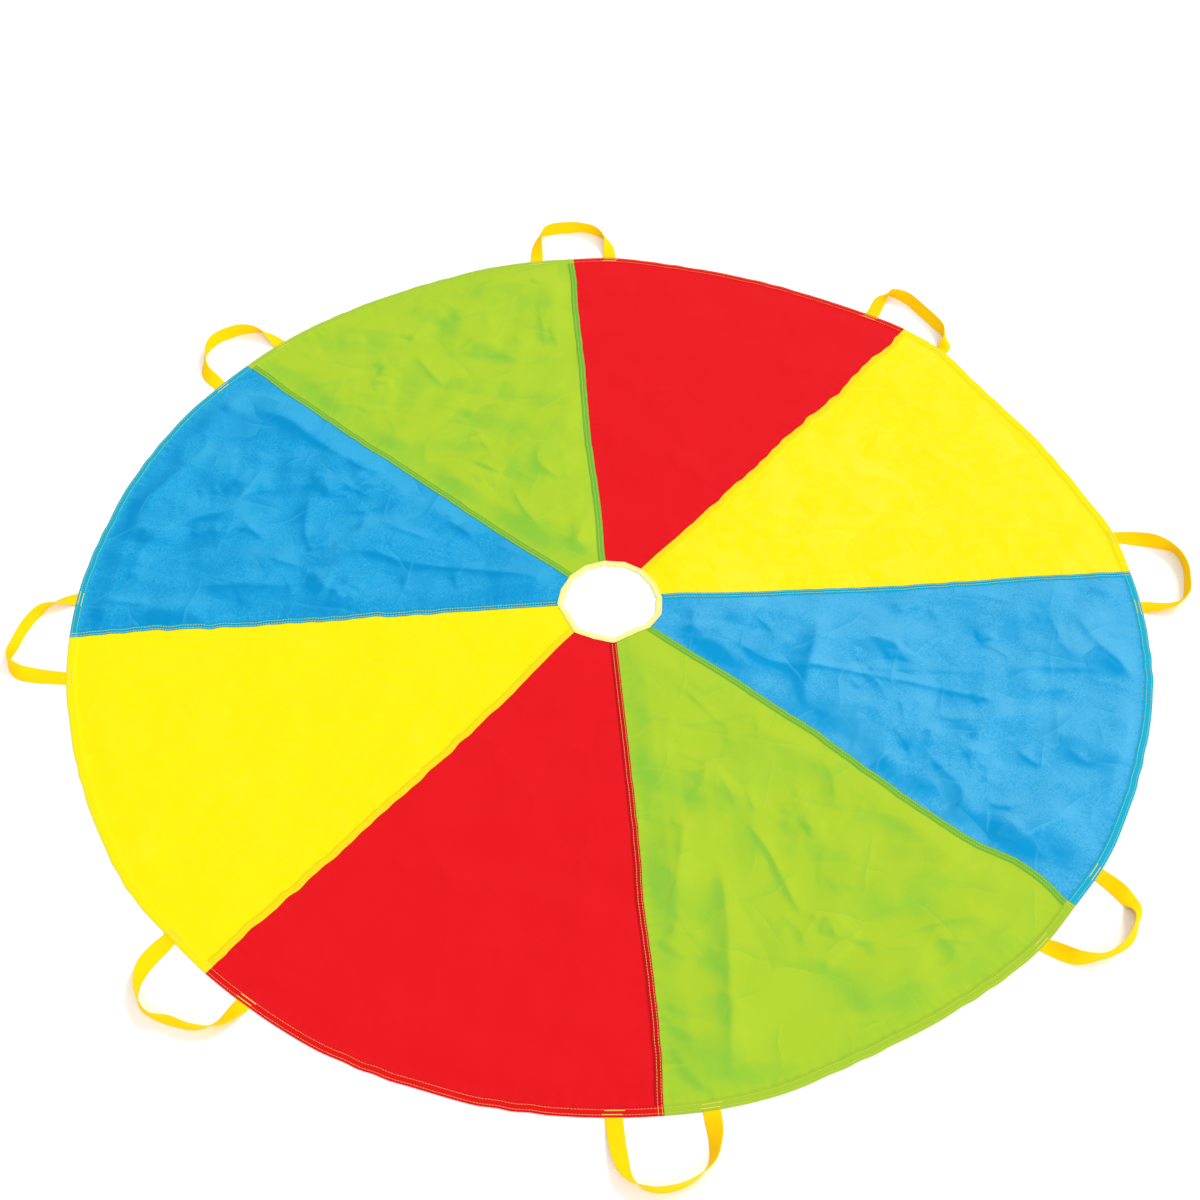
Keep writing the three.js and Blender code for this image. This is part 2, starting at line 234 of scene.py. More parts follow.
def on_gore(g, radius, turn):
    """Plan position on gore g at a radius, turn radians clockwise of its first seam."""
    angle = seam_angle(g) - turn
    lying = radius + rim_lie(g, turn, radius) + hole_lie(angle, radius)
    return lying * np.cos(angle), lying * np.sin(angle)


def turn_from_first(g, radius, distance):
    """The turn of a point that lies this distance clockwise of gore g's first seam."""
    return np.arcsin((distance + seam_wander(g, radius)) / radius)


def turn_from_last(g, radius, distance):
    """The turn of a point that lies this distance before gore g's last seam."""
    return GORE_ANGLE - np.arcsin((distance - seam_wander(g + 1, radius)) / radius)


# ---------- wrinkles ----------

# The folds that show most, as seen from the camera's side: half width, lift, then right and away of
# each point, all in millimetres from the middle of the hole
FOLDS = (
    # the blue cloth on the right
    (18, 3, 360, -20, 345, -100, 325, -170, 320, -240), (14, 1.2, 150, -5, 145, -40, 143, -75),
    (7.5, 1.3, 165, -55, 215, -90, 267, -127, 365, -142, 443, -160, 503, -173, 603, -200, 670, -220),
    (7, 0.9, 250, -118, 285, -97, 312, -78), (7, 0.9, 400, -185, 420, -172, 443, -160),
    (8, 0.9, 425, -195, 405, -235, 385, -285), (8, 1, 650, -155, 700, -139, 760, -140, 820, -142),
    (7.5, 0.7, 370, -142, 500, -146, 660, -150), (18, 2.2, 790, -5, 820, -80, 855, -130, 885, -190),
    (14, 2.6, 862, -200, 838, -275, 805, -350, 765, -435),
    (10, 1.4, 580, -290, 615, -255, 670, -222),
    (11, 1.9, 500, -300, 535, -350, 555, -385, 545, -425, 550, -450),
    (8, 1.2, 590, -370, 605, -345, 625, -320),
    (9, 1.4, 580, -385, 610, -410, 660, -400, 700, -370, 740, -350),
    (15, 2, 595, -475, 610, -450, 635, -430),
    (15, 2.4, 600, -478, 650, -462, 695, -437, 735, -413),
    (8, 1.2, 735, -205, 728, -250, 723, -300), (9, 1.2, 650, -300, 685, -330, 708, -295),
    (8, 1, 735, -300, 765, -328, 800, -300), (7, 0.9, 745, -455, 762, -400),
    (9, 1, 520, -230, 560, -245, 600, -235),
    # the green cloth in front
    (7, 1.6, 207, -430, 245, -495, 270, -560, 292, -612),
    (17, 2.8, 168, -490, 175, -570, 176, -710, 175, -800, 170, -870),
    (15, 1.9, 120, -420, 108, -520, 92, -610), (10, 1.2, 75, -660, 90, -640, 108, -610),
    (16, 1.6, 330, -310, 352, -345, 356, -430),
    (11, 1.2, 75, -265, 165, -250, 240, -230, 300, -220),
    (9, 1.6, 310, -615, 370, -645, 435, -630, 505, -610, 570, -600),
    (8, 1.2, 375, -668, 410, -655, 480, -655), (7, 1.1, 365, -645, 335, -670, 305, -700),
    (22, 2, 375, -610, 445, -575, 515, -515, 560, -485),
    (9, 1.6, 225, -860, 295, -845, 355, -810, 405, -775),
    (18, 1.6, 345, -755, 405, -725, 500, -685), (7, 1, 83, -795, 113, -850, 160, -890),
    (12, 1.2, 155, -320, 150, -365, 120, -420), (11, 1.1, 165, -320, 180, -360, 205, -425),
    (8, 0.9, 440, -700, 480, -645, 560, -650),
    # the blue cloth on the left
    (18, 2.4, -680, 470, -610, 435, -530, 370, -460, 315), (12, 1.6, -735, 455, -680, 510),
    (14, 2.2, -760, 430, -750, 360, -790, 290, -835, 225, -875, 200),
    (12, 2, -600, 280, -650, 260, -680, 205, -750, 180, -800, 140, -830, 90, -870, 50),
    (18, 3.2, -515, 70, -470, 125, -440, 160, -430, 210), (7.5, 1.2, -530, 70, -565, 80, -600, 95),
    (8, 1.3, -490, 100, -415, 105, -360, 85, -255, 70, -150, 55, -100, 45),
    (12, 1.8, -210, 135, -150, 100, -100, 72), (16, 2.2, -510, 70, -500, 35, -480, 25),
    (18, 2.2, -740, 20, -670, 30, -600, 30, -520, 35), (10, 1.2, -540, 260, -540, 165, -530, 120),
    (10, 1.5, -480, 205, -435, 205, -390, 235, -355, 260),
    (16, 1.6, -790, -50, -730, -42, -680, -40), (8, 1, -880, -5, -820, -10, -780, -15),
    (8, 1, -480, 250, -465, 280, -430, 285), (7, 1, -295, 190, -265, 165, -240, 145),
    (7, 0.9, -400, 170, -350, 150, -310, 135), (6, 0.9, -355, 65, -350, 10),
    (6, 0.9, -270, 65, -260, 20), (9, 1.3, -700, 130, -660, 160, -620, 150),
    # the green cloth at the back
    (10, 1.3, -160, 810, -220, 765, -290, 730, -315, 715),
    (7, 1, -140, 770, -130, 690, -125, 640), (6, 0.9, -155, 875, -150, 825),
    (10, 1.2, -380, 625, -345, 565, -315, 525), (10, 1.2, -470, 565, -520, 545, -580, 520),
    (10, 1.2, -200, 355, -230, 330, -240, 315), (8, 1.1, -175, 265, -155, 215, -120, 160),
    (14, 1.4, -115, 400, -130, 335, -80, 275), (16, 2.2, -28, 240, -40, 190, -55, 140, -70, 115),
    (12, 1.2, -270, 440, -250, 470, -200, 490),
    # pale streaks in the yellow cloths
    (10, 1.6, 420, 330, 480, 300, 560, 270), (9, 1.4, 560, 420, 620, 330, 700, 290),
    (9, 1.4, 300, 160, 400, 170, 520, 210), (10, 1.2, 650, 160, 740, 170, 800, 130),
    (8, 1.2, 520, 560, 560, 500, 640, 450),
)
LIGHT_SIDE = (0.78, 0.62)
# FULL_SHADE_LEAN and SHARPEST_BEND: the lean and the bend at which painted shade and light are full
FULL_SHADE_LEAN = 0.1
SHARPEST_BEND = 100
LIT_FLANK, SHADED_FLANK = 1.7, 0.85
FOLD_LIFT = 1.8
FOLD_STEP, CREST, SHARPEST_CREST = 2 * MM, 2.6 * MM, 0.22
FOLD_REACH = 7
FOLD_TAPER = 0.3
SLACK = 3.4 * MM

CREASE_SEED = 11
SMALL_CREASES = 30
CREASE_FANS = 5
FAN_SPREAD = (-0.7, -0.25, 0.15, 0.6)
# The ranges of a fan's radius, of its place between the seams and of its heading
FAN_SPANS = ((0.25, 0.8), (0.2, 0.8), (0, math.tau))
SWELL_COUNT = 26
ZIGZAG_COUNT = 26
FACET_SLOPE = 0.018
CELL_COUNT = 1100
CELL_SIZE, CELL_REACH = 62 * MM, 120 * MM
CRUMPLE_HEIGHT = 0.5 * MM
PUCKER_HEIGHT, PUCKER_REACH, PUCKER_LENGTH = 0.26 * MM, 14 * MM, 19 * MM
RIM_PUCKER_HEIGHT, RIM_PUCKER_REACH = 0.24 * MM, 12 * MM


def make_folds():
    """Every fold as a smooth line in the part's frame, small creases from packing among them."""
    right = unit(CAMERA_AZIMUTH)
    to_frame = np.array([right, (-right[1], right[0])])
    found = [(width * MM, lift * MM, np.reshape(points, (-1, 2)) @ to_frame * MM)
             for width, lift, *points in FOLDS]
    rng = np.random.default_rng(CREASE_SEED)

    def add_crease(middle, heading, reach, bow, places, widest, lifts):
        ahead = unit(heading) * rng.uniform(*reach)
        aside = np.array([-ahead[1], ahead[0]]) * rng.uniform(-bow, bow)
        line = [middle + place * ahead for place in places]
        line[1] = line[1] + aside
        found.append((rng.uniform(6, widest) * MM, rng.uniform(*lifts) * MM, np.array(line)))

    for g in range(1, GORES + 1):
        for _ in range(SMALL_CREASES):
            radius = math.sqrt(rng.uniform(0.14**2, 0.87**2))
            middle = radius * unit(seam_angle(g) - rng.uniform(0.05, 0.95) * GORE_ANGLE)
            add_crease(middle, rng.uniform(0, math.pi), reach=(0.015, 0.06), bow=0.3,
                       places=(-1, 0, 1), widest=10, lifts=(0.2, 0.8))
        for _ in range(CREASE_FANS):
            radius, share, heading = (rng.uniform(*span) for span in FAN_SPANS)
            middle = radius * unit(seam_angle(g) - share * GORE_ANGLE)
            for spread in FAN_SPREAD:
                turned = heading + spread + rng.uniform(-0.15, 0.15)
                add_crease(middle, turned, reach=(0.03, 0.075), bow=0.15,
                           places=(0.15, 0.6, 1.15), widest=8, lifts=(0.35, 0.9))
    lines = []
    for width, lift, line in found:
        steps = int(np.linalg.norm(np.diff(line, axis=0), axis=1).sum() / FOLD_STEP)
        smooth = [spline(line, share) for share in np.linspace(0, 1, steps)]
        lines.append((width, lift, np.array(smooth)))
    return lines


def fold_relief(x, y):
    """Height of the folds: each a sharp crest, a long flank to the light and a short one behind."""
    height = np.zeros_like(x)
    for width, lift, line in ALL_FOLDS:
        low, high = line.min(axis=0) - FOLD_REACH * width, line.max(axis=0) + FOLD_REACH * width
        close = (x > low[0]) & (x < high[0]) & (y > low[1]) & (y < high[1])
        if not close.any():
            continue
        dx, dy = x[close][:, None] - line[:, 0], y[close][:, None] - line[:, 1]
        far = dx**2 + dy**2
        nearest = far.argmin(axis=1)
        pick = np.arange(len(nearest))
        heading = np.gradient(line, axis=0)
        step = np.linalg.norm(heading, axis=1)
        heading /= step[:, None]
        to_light = np.mean(heading[:, 0] * LIGHT_SIDE[1] - heading[:, 1] * LIGHT_SIDE[0])
        ax, ay, bx, by = heading[nearest, 0], heading[nearest, 1], dx[pick, nearest], dy[pick, nearest]
        off = (ax * by - ay * bx) / width * (1 if to_light >= 0 else -1)
        off = off / np.where(off > 0, LIT_FLANK, SHADED_FLANK)
        share = np.clip((nearest + (ax * bx + ay * by) / step[nearest]) / (len(line) - 1), 0, 1)
        taper = smoothstep(0, FOLD_TAPER, share) * smoothstep(0, FOLD_TAPER, 1 - share)
        crest = max(SHARPEST_CREST, CREST / width)
        height[close] += FOLD_LIFT * lift * np.exp(-np.hypot(off, crest)) * taper
    return height


def make_swells():
    """Slow swells of the lying cloth, as waves of random heading."""
    rng = np.random.default_rng(CREASE_SEED + 1)
    length = rng.uniform(0.12, 0.42, SWELL_COUNT)
    heading = rng.uniform(0, math.tau, SWELL_COUNT)
    return np.stack([
        math.tau / length * np.cos(heading), math.tau / length * np.sin(heading),
        rng.uniform(0, math.tau, SWELL_COUNT), 0.0004 * length,
    ], axis=1)


def make_zigzags():
    """Heading, length and phase of each zigzag, then of the patches that show it."""
    rng = np.random.default_rng(CREASE_SEED + 3)
    half_turn = rng.uniform(0, math.pi, (2, ZIGZAG_COUNT))
    return list(zip(
        half_turn[0], rng.uniform(0.06, 0.2, ZIGZAG_COUNT), rng.uniform(0, 1, ZIGZAG_COUNT),
        half_turn[1], rng.uniform(0, math.tau, ZIGZAG_COUNT)))


def spline(points, share):
    """A point of the smooth line through these points, as the part's source sweeps the webbing."""
    last = len(points) - 1
    place = min(share * last, last - 1e-9)
    i = int(place)
    w = place - i
    p1, p2 = points[i], points[i + 1]
    p0 = points[i - 1] if i > 0 else 2 * p1 - p2
    p3 = points[i + 2] if i + 2 <= last else 2 * p2 - p1
    d0, d1, d2 = (max(np.sum((b - a) ** 2) ** 0.25, 1e-4) for a, b in ((p0, p1), (p1, p2), (p2, p3)))
    t1 = ((p1 - p0) / d0 - (p2 - p0) / (d0 + d1) + (p2 - p1) / d1) * d1
    t2 = ((p2 - p1) / d1 - (p3 - p1) / (d1 + d2) + (p3 - p2) / d2) * d1
    return p1 + t1 * w + (-3 * p1 + 3 * p2 - 2 * t1 - t2) * w * w + (2 * p1 - 2 * p2 + t1 + t2) * w**3


ALL_FOLDS = make_folds()
SWELLS = make_swells()
CELLS = np.random.default_rng(CREASE_SEED + 2).uniform(-1, 1, (CELL_COUNT, 2)) * CANOPY_RADIUS
ZIGZAGS = make_zigzags()


def swell_relief(x, y):
    """Height of the slow swells."""
    total = np.zeros_like(x)
    for kx, ky, phase, height in SWELLS:
        total += height * np.sin(kx * x + ky * y + phase)
    return total


def facet_relief(x, y):
    """Flat facets between straight creases: crossing zigzags, each only where it shows."""
    bowed = 0.012 * np.sin(9 * x + 1.1) * np.sin(7 * y + 0.4)
    total = np.zeros_like(x)
    for heading, length, phase, mask_heading, mask_phase in ZIGZAGS:
        place = (x * math.cos(heading) + y * math.sin(heading) + bowed) / length + phase
        zigzag = np.arcsin(0.985 * np.sin(math.tau * place)) * 2 / math.pi
        shown = np.sin(11 * (x * math.cos(mask_heading) + y * math.sin(mask_heading)) + mask_phase)
        total += FACET_SLOPE * length / 4 * zigzag * smoothstep(-0.1, 0.75, shown)
    return total


def crumple_relief(x, y):
    """Crumpled cells: soft valleys where two neighbouring cells meet."""
    wx = x + 0.012 * np.sin(31 * y + 1.3) + 0.006 * np.sin(77 * y + 23 * x)
    wy = y + 0.012 * np.sin(27 * x + 0.4) + 0.006 * np.sin(69 * x - 31 * y)
    low = np.array([wx.min(), wy.min()]) - CELL_REACH
    high = np.array([wx.max(), wy.max()]) + CELL_REACH
    first = second = np.full(x.shape, np.inf)
    for px, py in CELLS[((CELLS > low) & (CELLS < high)).all(axis=1)]:
        d = np.hypot(wx - px, wy - py)
        second = np.minimum(second, np.maximum(first, d))
        first = np.minimum(first, d)
    apart = np.sqrt(((second - first) / CELL_SIZE) ** 2 + 0.08**2)
    return 0.7 * np.tanh(apart / 0.7)


def relief(x, y):
    """Height of the wrinkles over cloth that lies flat."""
    patch = 0.5 + 0.5 * np.sin(5.1 * x + 2.7 * y + 0.8) * np.sin(4.3 * y - 2.2 * x + 2.1)
    crumple = CRUMPLE_HEIGHT * (0.25 + 0.75 * patch) * crumple_relief(x, y)
    return swell_relief(x, y) + fold_relief(x, y) + facet_relief(x, y) + crumple


def seam_distance(x, y):
    """Distance to the nearest seam's straight line."""
    angle = np.mod(np.arctan2(y, x) - math.pi / 2 + GORE_ANGLE / 2, GORE_ANGLE) - GORE_ANGLE / 2
    return np.abs(np.hypot(x, y) * np.sin(angle))


def wrinkle_share(g, x, y, radius):
    """How much of the wrinkles gore g shows: less where the seams, the rim and the binding hold it."""
    own = WRINKLE_SHARE[CLOTH_NAMES[g - 1]]
    share = SEAM_SHARE + (own - SEAM_SHARE) * smoothstep(0, 50 * MM, seam_distance(x, y))
    held = smoothstep(BINDING_OUTER, BINDING_OUTER + 50 * MM, radius)
    return share * held * (0.25 + 0.75 * smoothstep(0, 45 * MM, HEM_INNER - radius))


def cloth_height(g, x, y, radius):
    """Height of the middle of gore g's cloth, without its doubled strip or hem."""
    rise = (SLACK + relief(x, y)) * wrinkle_share(g, x, y, radius)
    pucker = PUCKER_HEIGHT * np.exp(-seam_distance(x, y) / PUCKER_REACH) * np.sin(
        math.tau * radius / PUCKER_LENGTH + 4 * np.sin(radius * 31)) * np.sin(radius * 47 + x * 23)
    at_rim = np.exp(-np.clip(HEM_INNER - radius, 0, 1) / RIM_PUCKER_REACH)
    angle = np.arctan2(y, x)
    pucker += RIM_PUCKER_HEIGHT * at_rim * np.sin(
        angle * 290 + 4 * np.sin(angle * 41)) * np.sin(angle * 67 + 3 * np.sin(angle * 13))
    pucker *= smoothstep(BINDING_OUTER, BINDING_OUTER + 30 * MM, radius)
    raised = CLOTH_REST - CLOTH_LOWEST + rise + pucker
    soft = 0.5 * MM
    return CLOTH_LOWEST + soft * np.logaddexp(0, raised / soft)


def bend_mark(points):
    """How sharply a grid of points is bent, for painted light: above zero on ridges, below zero in
    valleys.
    """
    total = np.zeros(points.shape[:2])
    for grid, result in ((points, total), (points.transpose(1, 0, 2), total.T)):
        before, after = grid[1:-1] - grid[:-2], grid[2:] - grid[1:-1]
        run_before = np.maximum(np.hypot(before[..., 0], before[..., 1]), 1 * MM)
        run_after = np.maximum(np.hypot(after[..., 0], after[..., 1]), 1 * MM)
        change = after[..., 2] / run_after - before[..., 2] / run_before
        result[1:-1] -= change / (run_before + run_after) * 2
    return np.clip(total / SHARPEST_BEND, -1, 1)


def facing_mark(points):
    """How the cloth leans, for painted shade: above zero away from the light, below zero towards it."""
    along, across = np.gradient(points, axis=0), np.gradient(points, axis=1)
    normal = np.cross(across, along)
    length = np.linalg.norm(normal, axis=2, keepdims=True)
    normal *= np.sign(normal[..., 2:]) / np.maximum(length, 1e-12)
    lean = normal[..., 0] * LIGHT_SIDE[0] + normal[..., 1] * LIGHT_SIDE[1]
    return np.clip(-lean / FULL_SHADE_LEAN, -1, 1)


# ---------- gores ----------

GORE_COLUMNS = 160
GORE_RINGS = 205
STRIP_COLUMNS = (0.2, 0.4, 0.6, 0.8, 1)
HEM_SHARES = (0, 0.25, 0.5, 0.75)
HEM_RISE = 0.5 * MM
EDGE_STEPS = 8
SMOOTH_BELOW, ROUND_ABOVE = math.radians(50), math.radians(60)


def new_grid(name, points):
    """A grid of points, row by row, in the order of the grid that Blender adds."""
    bpy.ops.mesh.primitive_grid_add(
        x_subdivisions=points.shape[1] - 1, y_subdivisions=points.shape[0] - 1, size=1)
    piece = bpy.context.object
    piece.name = piece.data.name = name
    piece.data.vertices.foreach_set("co", points.astype(np.float32).ravel())
    return piece


def give_wall(piece, thickness, edge=0):
    """Thickens a sheet evenly to both sides, rounds its edges and smooths its shading."""
    wall = piece.modifiers.new("wall", "SOLIDIFY")
    wall.thickness = thickness
    wall.offset = 0
    if edge:
        soft = piece.modifiers.new("soft_edge", "BEVEL")
        soft.width = edge
        soft.segments = 2
        soft.angle_limit = ROUND_ABOVE
    for name in piece.modifiers.keys():
        bpy.ops.object.modifier_apply(modifier=name)
    bpy.ops.object.shade_smooth_by_angle(angle=SMOOTH_BELOW)


def over_webbing(g, radius, turn):
    """1 where gore g's hem lies over a webbing leg, 0 beside it."""
    first = LOOP_LAYS[g - 1][-1][0] * MM
    last = -LOOP_LAYS[g % GORES][0][0] * MM
    half = WEBBING_WIDTH / 2
    total = np.zeros_like(turn)
    for beside in (radius * np.sin(turn) - first, radius * np.sin(GORE_ANGLE - turn) - last):
        total = np.maximum(total, 1 - smoothstep(half, half + 7 * MM, np.abs(beside)))
    return total


def gore_turns(g, radius):
    """Each column's turn at these radii, and whether the column lies on the doubled strip."""
    inside = (radius > STRIP_START + 4 * MM) & (radius < HEM_INNER - 3 * MM)

    def side(turn_from, carries):
        edge = BUTT_GAP if carries else np.where(inside, -LAP, BUTT_GAP)
        distances = [edge, *(STRIP_WIDTH * share for share in STRIP_COLUMNS), STRIP_WIDTH + STRIP_SLOPE]
        return [turn_from(g, radius, d) for d in distances], [carries] * (len(distances) - 1) + [False]

    first, first_carries = side(turn_from_first, g != 1)
    last, last_carries = side(turn_from_last, g == GORES)
    shares = [i / GORE_COLUMNS for i in range(1, GORE_COLUMNS)]
    middle = [first[-1] * (1 - s) + last[-1] * s for s in shares]
    carries = first_carries + [False] * len(middle) + last_carries[::-1]
    return np.stack(first + middle + last[::-1], axis=1), np.array(carries)


def gore_rings():
    """Radius, kind and bend of each ring, from the hole over the rim and back under the hem."""
    rings = [(CLOTH_INNER, "bound", 0), (BINDING_OUTER + BUTT_GAP, "bound", 0),
             (STRIP_START + STRIP_SLOPE, "panel", 0)]
    panel = np.linspace(STRIP_START + 5 * MM, HEM_INNER - STRIP_SLOPE, GORE_RINGS)
    rings += [(radius, "panel", 0) for radius in panel]
    rings += [(HEM_INNER + HEM_WIDTH * share, "hem", 0) for share in HEM_SHARES]
    for step in range(1, EDGE_STEPS):
        bend = step * math.pi / EDGE_STEPS
        rings.append((CANOPY_RADIUS - HEM_EDGE * (1 - math.sin(bend)), "edge", bend))
    return rings + [(HEM_INNER + HEM_WIDTH * share, "under", 0) for share in HEM_SHARES[::-1]]


def hem_heights(g, cloth, radius, turn):
    """Underside and top of gore g's hem, over its cloth's height and over the webbing legs."""
    under = HEM_UNDERSIDE + (HEM_OVER_WEBBING - HEM_UNDERSIDE) * over_webbing(g, radius, turn)
    return under, np.maximum(cloth + HEM_RISE, under + HEM_RISE)


def make_gore(g):
    """Gore g as one sheet with its doubled strip and turned hem, marked for painted light and shade."""
    radius, kind, bend = (np.array(column)[:, None] for column in zip(*gore_rings()))
    turn, carries = gore_turns(g, radius[:, 0])
    radius = np.broadcast_to(radius, turn.shape)
    panel, on_hem = kind == "panel", kind == "hem"
    x, y = on_gore(g, radius, turn)
    cloth = cloth_height(g, x, y, radius)
    under, top = hem_heights(g, cloth, radius, turn)
    rolled = (top + under) / 2 + (top - under) / 2 * np.cos(bend)
    height = np.where(carries & panel, cloth + STRIP_RISE, cloth)
    for where, lie in ((on_hem, top), (kind == "under", under), (kind == "edge", rolled)):
        height = np.where(where, lie, height)
    gore = new_grid(f"cloth_{CLOTH_NAMES[g - 1]}_{g}", np.stack([x, y, height], axis=2))
    plain = np.stack([x, y, cloth], axis=2)
    # crease and shade mark painted light on ridges and slopes to the light, painted shade in valleys
    # and slopes away
    marks = {
        "crease": np.where(panel | on_hem, bend_mark(plain), 0),
        "shade": np.where(panel | on_hem, facing_mark(plain), 0),
        "strip": carries & panel,
        "hem": on_hem | (kind == "edge") | (kind == "under"),
    }
    for name, values in marks.items():
        gore.data.attributes.new(name, "FLOAT", "POINT").data.foreach_set(
            "value", np.broadcast_to(values, turn.shape).astype(np.float32).ravel())
    gore.data.update()
    give_wall(gore, CLOTH_THICKNESS)
    return gore


# ---------- webbing ----------

WEBBING_STEPS = 128
WEBBING_ACROSS = 6
TAIL_STEPS = 4


def seam_axes(k):
    """The directions out along seam k and clockwise along the rim."""
    a = seam_angle(k)
    return Vector((math.cos(a), math.sin(a), 0)), Vector((math.sin(a), -math.cos(a), 0))


def walked_along(line):
    """The length walked along a line at each of its points."""
    return np.concatenate([[0], np.cumsum(np.linalg.norm(np.diff(line, axis=0), axis=1))])


def strap_stations(k):
    """The strap's middle [clockwise, out] in millimetres, its heading and its turn, from end to end."""
    lay = LOOP_LAYS[k - 1]
    root, tail = (FOLD_LINE - CANOPY_RADIUS) / MM, (TAIL_END - CANOPY_RADIUS) / MM
    path = np.array([(along, out) for along, out, _ in lay], float)
    path[[0, -1], 1] = root
    turns = np.array([(i, turn) for i, (_, _, turn) in enumerate(lay)], float)
    out, back = np.array([0.0, 1.0]), np.array([0.0, -1.0])
    loop = []
    for i in range(WEBBING_STEPS + 1):
        share = i / WEBBING_STEPS
        step = spline(path, min(share + 1e-3, 1)) - spline(path, max(share - 1e-3, 0))
        heading = {0: out, WEBBING_STEPS: back}.get(i, step / np.linalg.norm(step))
        loop.append((spline(path, share), heading, math.radians(spline(turns, share)[1])))
    inner = [(np.array([path[0][0], tail + (root - tail) * i / TAIL_STEPS]), out, 0.0)
             for i in range(TAIL_STEPS)]
    outer = [(np.array([path[-1][0], root + (tail - root) * i / TAIL_STEPS]), back, 0.0)
             for i in range(1, TAIL_STEPS + 1)]
    return inner + loop + outer


def make_strap(k):
    """One continuous strap: a sewn end, the loop, and the other sewn end."""
    out_axis, rim_axis = seam_axes(k)
    shares = [i / (WEBBING_ACROSS - 1) - 0.5 for i in range(WEBBING_ACROSS)]
    rows = []
    for here, heading, turn in strap_stations(k):
        side = np.array([-heading[1], heading[0]])
        centre = out_axis * (CANOPY_RADIUS + here[1] * MM) + rim_axis * (here[0] * MM)
        level = (rim_axis * side[0] + out_axis * side[1]) * math.cos(turn)
        across = level + Vector((0, 0, math.sin(turn)))
        centre.z = WEBBING_WIDTH / 2 * abs(math.sin(turn)) + WEBBING_THICKNESS / 2 * abs(math.cos(turn))
        rows.append([tuple(centre + across * WEBBING_WIDTH * share) for share in shares])
    rows = np.array(rows, np.float32)
    strap = new_grid(f"webbing_strap_{k}", rows)
    put_uv(strap, walked_along(rows.mean(axis=1)), np.linspace(0, WEBBING_WIDTH, WEBBING_ACROSS))
    strap.data.update()
    give_wall(strap, WEBBING_THICKNESS, edge=0.45 * MM)
    return strap


def put_uv(piece, along, across):
    """A UV map in metres: U along the piece and V across it."""
    index = np.zeros(len(piece.data.loops), np.int32)
    piece.data.loops.foreach_get("vertex_index", index)
    uv = np.stack([np.repeat(along, len(across)), np.tile(across, len(along))], axis=1)
    piece.data.uv_layers.active.data.foreach_set("uv", uv[index].astype(np.float32).ravel())


# ---------- binding ----------

BINDING_STEPS = 160
BINDING_ROLL, ROLL_STEPS = 0.8 * MM, 8


def make_binding():
    """A tape folded over the cloth's inner edge, swept round the hole."""
    bpy.ops.mesh.primitive_plane_add(size=1)
    tape = bpy.context.object
    tape.name = tape.data.name = "binding_tape"
    half = BINDING_THICKNESS / 2
    low, high = half + 0.05 * MM, BINDING_TOP - half
    inner = HOLE_RADIUS + half
    fold = [(BINDING_OUTER, low), (inner + 5 * MM, low - 0.03 * MM), (inner + BINDING_ROLL, low)]
    middle, half_height = (low + high) / 2, (high - low) / 2
    for i in range(1, ROLL_STEPS):
        a = math.pi * i / ROLL_STEPS
        fold.append((inner + BINDING_ROLL * (1 - math.sin(a)), middle - half_height * math.cos(a)))
    fold += [(inner + BINDING_ROLL, high), (inner + 5 * MM, high + 0.04 * MM), (BINDING_OUTER, high)]
    bpy.ops.object.mode_set(mode="EDIT")
    bpy.ops.mesh.delete(type="VERT")
    bpy.ops.object.mode_set(mode="OBJECT")
    tape.data.from_pydata([(r, 0, z) for r, z in fold], [(i, i + 1) for i in range(len(fold) - 1)], [])
    bpy.ops.object.mode_set(mode="EDIT")
    bpy.ops.mesh.select_all(action="SELECT")
    bpy.ops.mesh.spin(steps=BINDING_STEPS, angle=math.tau, center=(0, 0, 0), axis=(0, 0, 1))
    bpy.ops.mesh.select_all(action="SELECT")
    bpy.ops.mesh.remove_doubles(threshold=0.02 * MM)
    bpy.ops.mesh.normals_make_consistent(inside=False)
    bpy.ops.object.mode_set(mode="OBJECT")
    co = np.zeros(len(tape.data.vertices) * 3, np.float32)
    tape.data.vertices.foreach_get("co", co)
    co = co.reshape(-1, 3).astype(float)
    angle, radius = np.arctan2(co[:, 1], co[:, 0]), np.hypot(co[:, 0], co[:, 1])
    slack = 1 - smoothstep(HOLE_RADIUS, BINDING_OUTER, radius)
    drawn = 0.5 * MM * np.sin(angle * 8 + 0.6) + 0.35 * MM * np.sin(angle * 23 + 1.1)
    radius = radius + (drawn + 0.4 * MM) * slack + hole_lie(angle, radius)
    top = smoothstep(1.2 * MM, 2.2 * MM, co[:, 2])
    co[:, 0], co[:, 1] = radius * np.cos(angle), radius * np.sin(angle)
    co[:, 2] += 0.12 * MM * np.sin(angle * 61 + 2 * np.sin(angle * 9)) * top * slack
    tape.data.vertices.foreach_set("co", co.astype(np.float32).ravel())
    tape.data.update()
    give_wall(tape, BINDING_THICKNESS)
    return tape


# ---------- sewing ----------

STITCH_PITCH = 4.6 * MM
STITCH_LENGTH = 3.7 * MM
STITCH_RADIUS = 0.32 * MM
STITCH_HEIGHT = STITCH_RADIUS * 0.5


